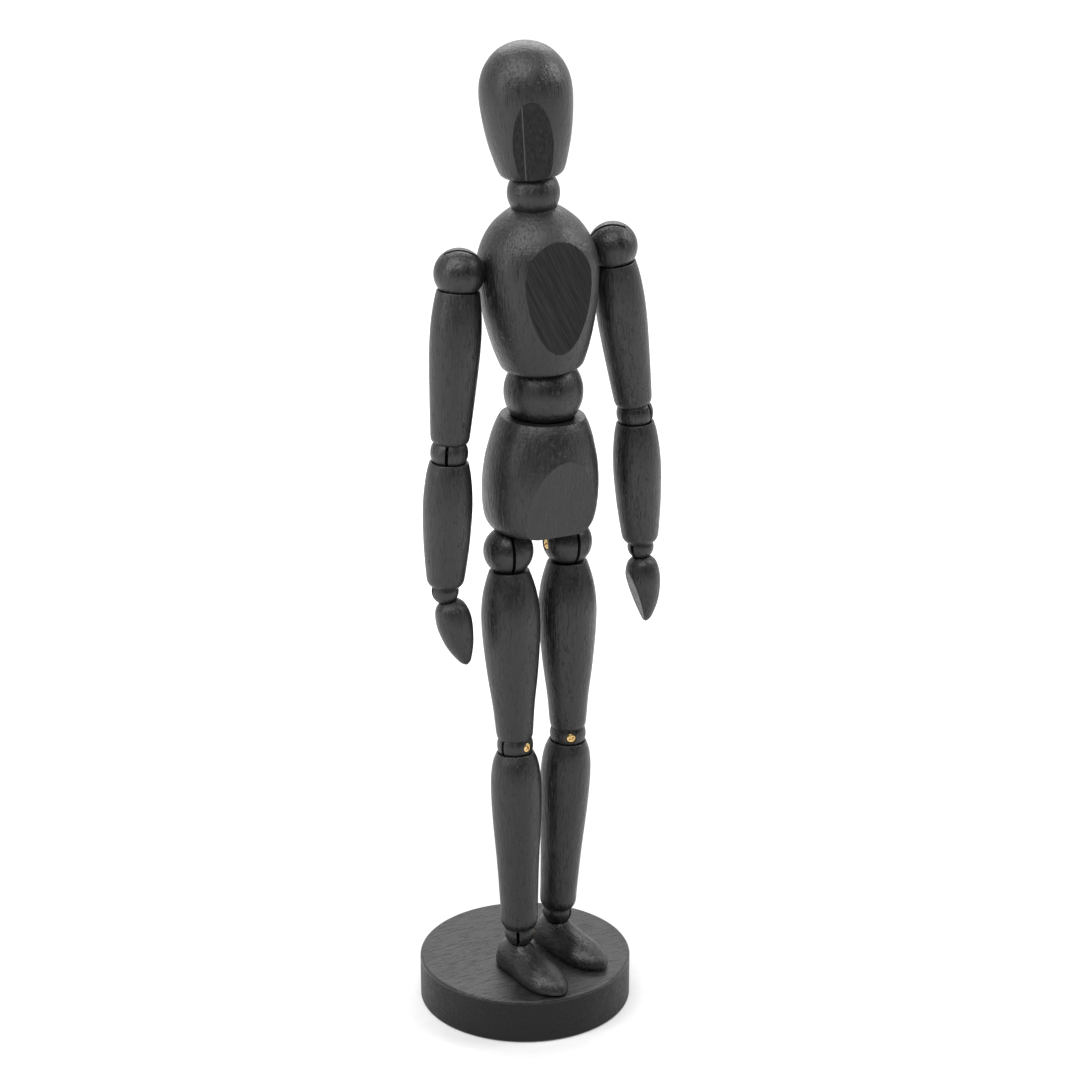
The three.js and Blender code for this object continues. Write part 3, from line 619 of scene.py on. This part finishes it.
def limb(name, side):
    """A turned limb with a cup for a ball at each end and a bore between them."""
    upper, lower = LIMB_ENDS[name]
    length = (ball_centre(upper, side) - ball_centre(lower, side)).length / MM
    outer = flipped(smooth(LIMB_OUTLINE[name]))
    rim_top = -outer[0].y
    rim_bottom = length + outer[-1].y
    top_cup = flipped(cup(BALL_RADIUS[upper], rim_top))
    bottom_cup = [Vector((p.x, p.y - length)) for p in cup(BALL_RADIUS[lower], rim_bottom)]
    outline = [*outer, *bottom_cup, *reversed(top_cup)]
    last = len(outer) - 1
    outline = rounded(outline, {0: 0.5, last: 0.45, last + 1: 0.2, len(outline) - 1: 0.25})
    mesh = lathe(outline, closed=True)
    made = object_of(f"turned_{name}_{side}", mesh, limb_frame(name, side), [LACQUER])
    finished(made, f"{name}_{side}", f"{name}_{side}")


# ---------------------------------------------------------------- hands and feet


def hand(side):
    """A leaf-shaped hand with a flat palm, hanging from its wrist ball."""
    outer = flipped(smooth(HAND_OUTLINE))
    seat = flipped(cup(BALL_RADIUS["wrist"], -outer[0].y, HAND_BORE))
    bottom = Vector((0, -BALL_RADIUS["wrist"] - SEAT_GAP))
    mesh = lathe(rounded([bottom, *reversed(seat), *outer], {len(seat) + 1: 0.25}))
    cut_facet(mesh, PALM_FACET)
    turn = f"hand_turn_{side}"
    facing = Matrix.Rotation(math.radians(PALM_TURN[side]), 4, "Z")
    place = placed(joint_at(turn), joint_axis(turn)) @ facing
    made = object_of(f"turned_hand_{side}", mesh, place, [LACQUER, PALM_WOOD])
    finished(made, f"hand_{side}", f"hand_{side}")


def foot_ring(ahead, half_width, height, rise, steps=20):
    """A section: a tall arch over the foot and a flat, round-cornered sole."""
    edge = height * SOLE_EDGE + rise * 0.5
    ring = []
    for i in range(2 * steps):
        angle = math.pi * i / steps
        c, s = math.cos(angle), math.sin(angle)
        if s >= 0:
            x, z = half_width * c, edge + (height - edge) * s
        else:
            x = half_width * math.copysign(math.sqrt(abs(c)), c)
            z = edge - (edge - rise) * math.sqrt(abs(s))
        ring.append(Vector((x, -ahead, z)) * MM)
    return ring


def foot_blank(per_span=6):
    """A closed skin over the foot's sections, with its own ends rounded off."""
    columns = [[(section[k], section[0]) for section in FOOT_SECTIONS] for k in (1, 2, 3)]
    curves = [smooth(column, per_span) for column in columns]
    mesh = bmesh.new()
    rings = [
        [mesh.verts.new(point) for point in foot_ring(width.y, width.x, height.x, rise.x)]
        for width, height, rise in zip(*curves)
    ]
    count = len(rings[0])
    for first, second in zip(rings, rings[1:]):
        for i in range(count):
            j = (i + 1) % count
            mesh.faces.new((first[i], first[j], second[j], second[i]))
    for ring, out in ((rings[0], 0.5), (rings[-1], -0.7)):
        middle = sum((v.co for v in ring), Vector()) / count
        tip = mesh.verts.new(middle + Vector((0, out * MM, 0)))
        for i in range(count):
            mesh.faces.new((ring[i], ring[(i + 1) % count], tip))
    bmesh.ops.recalc_face_normals(mesh, faces=mesh.faces)
    return mesh


def foot(side):
    """A carved foot with an ankle cup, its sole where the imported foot's is."""
    ankle = ball_centre("ankle", side)
    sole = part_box(f"foot_{side}")[0][2]
    height = (ankle.z - sole) / MM
    facing = Matrix.Rotation(math.radians(FOOT_TURN[side]), 4, "Z")
    place = Matrix.Translation((ankle.x, ankle.y, sole)) @ facing
    tools = [sphere_mesh(BALL_RADIUS["ankle"] + SEAT_GAP, (0, 0, height))]
    made = carved(f"carved_foot_{side}", foot_blank(), tools, place, [FOOT_LACQUER], edge=0.25)
    finished(made, FOOT_BODY[side], f"foot_{side}")


# ---------------------------------------------------------------- trunk and head


def pelvis():
    """A turned block with a flat front, a seat for each hip ball and a cup for the waist ball."""
    hips = [ball_centre("hip", side) for side in SIDES]
    middle = (hips[0] + hips[1]) / 2
    up = joint_at("waist_nod") - middle
    lateral = hips[1] - hips[0]
    place = placed(middle, up, lateral.normalized().cross(up))
    waist_up = up.length / MM
    outer = smooth(PELVIS_OUTLINE)
    seat = flipped(cup(WAIST_RADIUS, waist_up - outer[-1].y, SPINE_BORE, steps=14), waist_up)
    well = [Vector((SPINE_BORE, PELVIS_BORE_FLOOR)), Vector((0, PELVIS_BORE_FLOOR))]
    outline = [Vector((0, outer[0].y)), *outer, *seat, *well]
    last = len(outer)
    mesh = lathe(rounded(outline, {1: 0.4, last: 0.35, last + 1: 0.25}), sides=TRUNK_SIDES)
    cut_facet(mesh, PELVIS_FACET, edge=0.35)
    hip_seat = BALL_RADIUS["hip"] + SEAT_GAP
    out = lateral.length / MM / 2
    tools = [sphere_mesh(hip_seat, (sign * out, 0, 0)) for sign in (-1, 1)]
    made = carved("turned_pelvis", mesh, tools, place, [TRUNK_LACQUER, PELVIS_FLAT], edge=0.2)
    finished(made, "pelvis", "pelvis")


def torso():
    """A turned egg with a flat chest, a seat for each shoulder ball and a cup at each end."""
    waist, neck = joint_at("waist_nod"), joint_at("neck_nod")
    shoulders = [ball_centre("shoulder", side) for side in SIDES]
    up = neck - waist
    place = placed(waist, up, up.cross(shoulders[0] - shoulders[1]))
    inward = place.inverted()
    neck_up = up.length / MM
    outer = smooth(TORSO_OUTLINE)
    bottom = cup(WAIST_RADIUS, outer[0].y, SPINE_BORE, steps=14)
    top = flipped(cup(NECK_RADIUS, neck_up - outer[-1].y, SPINE_BORE), neck_up)
    outline = [*reversed(bottom), *outer, *top]
    first, last = len(bottom), len(bottom) + len(outer) - 1
    outline = rounded(outline, {first - 1: 0.25, first: 0.4, last: 0.3, last + 1: 0.2})
    mesh = lathe(outline, closed=True, sides=TRUNK_SIDES)
    cut_facet(mesh, CHEST_FACET, edge=0.3)
    shoulder_seat = BALL_RADIUS["shoulder"] + SEAT_GAP
    tools = [sphere_mesh(shoulder_seat, (inward @ centre) / MM) for centre in shoulders]
    made = carved("turned_torso", mesh, tools, place, [TRUNK_LACQUER, CHEST_WOOD], edge=0.2)
    finished(made, "torso", "torso")


def head():
    """A turned egg with one flat facet and a blind bore for the neck's spring."""
    x, y = joint_axis("neck_nod"), joint_axis("neck_tilt")
    axes = Matrix((x, y, x.cross(y))).transposed().to_4x4()
    place = Matrix.Translation(joint_at("neck_nod")) @ axes
    outer = smooth(HEAD_OUTLINE)
    seat = cup(NECK_RADIUS, outer[0].y, SPINE_BORE)
    ceiling = [Vector((0, HEAD_BORE_TOP)), Vector((SPINE_BORE, HEAD_BORE_TOP))]
    first = len(seat) + len(ceiling)
    outline = rounded([*ceiling, *reversed(seat), *outer], {first - 1: 0.2, first: 0.45})
    mesh = lathe(outline, sides=TRUNK_SIDES)
    cut_facet(mesh, FACE_FACET, edge=0.25)
    made = object_of("turned_head", mesh, place, [TRUNK_LACQUER, FACE_WOOD])
    finished(made, "head", "head")


def bored_ball(node, radius, centre, up):
    """The waist or neck ball: a sphere with a bore along up for the spring."""
    top = math.acos(SPINE_BORE / radius)
    mesh = lathe(rounded(arc(radius, -top, top, steps=40), {0: 0.3, 40: 0.3}), closed=True)
    made = object_of(f"turned_{node}", mesh, placed(centre, up), [BALL_LACQUER])
    finished(made, node, node)


# ---------------------------------------------------------------- base


def base():
    """The disc, with a counterbored hole from below for the screw into the right foot."""
    low, high = (Vector(corner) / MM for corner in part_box("base_disc"))
    screw_low, screw_high = (Vector(corner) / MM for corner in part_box("foot_screw"))
    screw_at = (screw_low + screw_high) / 2
    radius, height = (high.x - low.x) / 2, high.z
    outline = [Vector(point) for point in ((0, 0), (radius, 0), (radius, height), (0, height))]
    edges = {1: BASE_EDGE["under"], 2: BASE_EDGE["top"]}
    mesh = lathe(rounded(outline, edges, steps=6), sides=BASE_SIDES)
    tools = [
        rod_mesh(COUNTERBORE["radius"], -1, COUNTERBORE["depth"]),
        rod_mesh(SCREW_HOLE, -1, height + 1),
    ]
    aside = Vector((screw_at.x, screw_at.y, 0)) * MM
    for tool in tools:
        bmesh.ops.translate(tool, verts=tool.verts, vec=aside)
    materials = [BASE_TOP_PAINTED_LIGHT, BASE_SIDE_PAINTED_SHADE]
    made = carved("turned_base_disc", mesh, tools, Matrix.Identity(4), materials, edge=0.15)
    # Upright faces get the copy with painted shade; the top, the bevels and the underside get the
    # copy with painted light.
    for face in made.data.polygons:
        face.material_index = int(abs(face.normal.z) < 0.05)
    finished(made, "base", "base_disc")


# ---------------------------------------------------------------- the object

for side in SIDES:
    for limb_name in LIMB_OUTLINE:
        limb(limb_name, side)
    for kind in BALL_RADIUS:
        slotted_ball(kind, side)
        screw(kind, side)
    hand(side)
    foot(side)
pelvis()
torso()
head()
bored_ball("waist_ball", WAIST_RADIUS, joint_at("waist_nod"), joint_axis("waist_turn"))
bored_ball("neck_ball", NECK_RADIUS, joint_at("neck_nod"), joint_axis("neck_turn"))
base()

for node, wire in frame["nodes"].items():
    if "spring" in node or "wire" in node or "eye" in node or node == "foot_screw":
        wire.data.materials.clear()
        wire.data.materials.append(STEEL)

# ---------------------------------------------------------------- camera, floor and light

CAMERA_TARGET = Vector((6.0, 0.0, 165.5)) * MM
CAMERA_DISTANCE = 0.765
CAMERA_AZIMUTH = -28.82
CAMERA_ELEVATION = 18.11
CAMERA_LENS = 76.97


def direction(azimuth, elevation):
    """From the object towards something at these angles, azimuth 0 being in front of it."""
    a, e = math.radians(azimuth), math.radians(elevation)
    return Vector((math.sin(a) * math.cos(e), -math.cos(a) * math.cos(e), math.sin(e)))


def camera():
    data = bpy.data.cameras.new("camera")
    data.lens, data.sensor_width = CAMERA_LENS, 36
    made = bpy.data.objects.new("camera", data)
    bpy.context.scene.collection.objects.link(made)
    back = direction(CAMERA_AZIMUTH, CAMERA_ELEVATION)
    made.location = CAMERA_TARGET + back * CAMERA_DISTANCE
    made.rotation_euler = (-back).to_track_quat("-Z", "Y").to_euler()
    bpy.context.scene.camera = made


def soft_box(name, azimuth, elevation, distance, size, power):
    data = bpy.data.lights.new(name, "AREA")
    data.shape, data.size, data.size_y, data.energy = "RECTANGLE", *size, power
    made = bpy.data.objects.new(name, data)
    bpy.context.scene.collection.objects.link(made)
    back = direction(azimuth, elevation)
    made.location = CAMERA_TARGET + back * distance
    made.rotation_euler = (-back).to_track_quat("-Z", "Y").to_euler()


def floor():
    mesh = bmesh.new()
    bmesh.ops.create_grid(mesh, x_segments=1, y_segments=1, size=6)
    made = object_of("studio_floor", mesh, Matrix.Translation((0, 0, -0.0002)))
    paper = Nodes("white_paper", own=False)
    fibre = paper.noise((300, 300, 300), detail=3)
    paper.link(paper.ramp(fibre, [(0.3, 0.49), (0.7, 0.51)]), "Base Color")
    paper.shader.inputs["Roughness"].default_value = 0.9
    paper.shader.inputs["Specular IOR Level"].default_value = 0.1
    paper.shader.inputs["Emission Color"].default_value = (1, 1, 1, 1)
    # The paper glows though it is no lamp, a painted light that brings the far floor up to white; the
    # glow is weaker near the base, so the floor round it is painted darker.
    length = paper.add("ShaderNodeVectorMath", {0: paper.coords}, operation="LENGTH").outputs["Value"]
    painted_glow_range = {"Value": length, "From Min": 0.06, "From Max": 0.55, "To Min": 0.32, "To Max": 0.95}
    painted_floor_glow = paper.add("ShaderNodeMapRange", painted_glow_range, interpolation_type="SMOOTHSTEP").outputs[0]
    paper.link(painted_floor_glow, "Emission Strength")
    made.data.materials.append(paper.material)


def studio():
    """White behind the object, dark on the side that the photograph is taken from."""
    world = bpy.data.worlds.new("studio")
    bpy.context.scene.world = world
    world.use_nodes = True
    tree = world.node_tree
    coords = tree.nodes.new("ShaderNodeTexCoord")
    toward = tree.nodes.new("ShaderNodeVectorMath")
    toward.operation = "DOT_PRODUCT"
    toward.inputs[1].default_value = direction(CAMERA_AZIMUTH, 25)
    tree.links.new(coords.outputs["Generated"], toward.inputs[0])
    shade_of = tree.nodes.new("ShaderNodeMapRange")
    shade_of.inputs["From Min"].default_value = -0.45
    shade_of.inputs["From Max"].default_value = 0.5
    shade_of.inputs["To Min"].default_value = 1.05
    shade_of.inputs["To Max"].default_value = 0.06
    tree.links.new(toward.outputs["Value"], shade_of.inputs["Value"])
    seen = tree.nodes.new("ShaderNodeLightPath")
    mix = tree.nodes.new("ShaderNodeMix")
    mix.data_type = "FLOAT"
    tree.links.new(seen.outputs["Is Camera Ray"], mix.inputs[0])
    tree.links.new(shade_of.outputs[0], mix.inputs[2])
    mix.inputs[3].default_value = 1.0
    background = tree.nodes["Background"]
    background.inputs["Color"].default_value = (1, 1, 1, 1)
    tree.links.new(mix.outputs[0], background.inputs["Strength"])


camera()
floor()
studio()
soft_box("overhead_soft_box", CAMERA_AZIMUTH - 24, 58, 0.9, (0.9, 0.7), 9.5)
soft_box("side_soft_box", CAMERA_AZIMUTH - 62, 22, 0.95, (0.22, 0.7), 3.2)
soft_box("fill_soft_box", CAMERA_AZIMUTH + 95, 40, 0.85, (0.3, 0.45), 3.6)
soft_box("back_soft_box", CAMERA_AZIMUTH + 180, 50, 0.9, (0.8, 0.5), 5.0)
bpy.context.scene.view_settings.view_transform = "Standard"
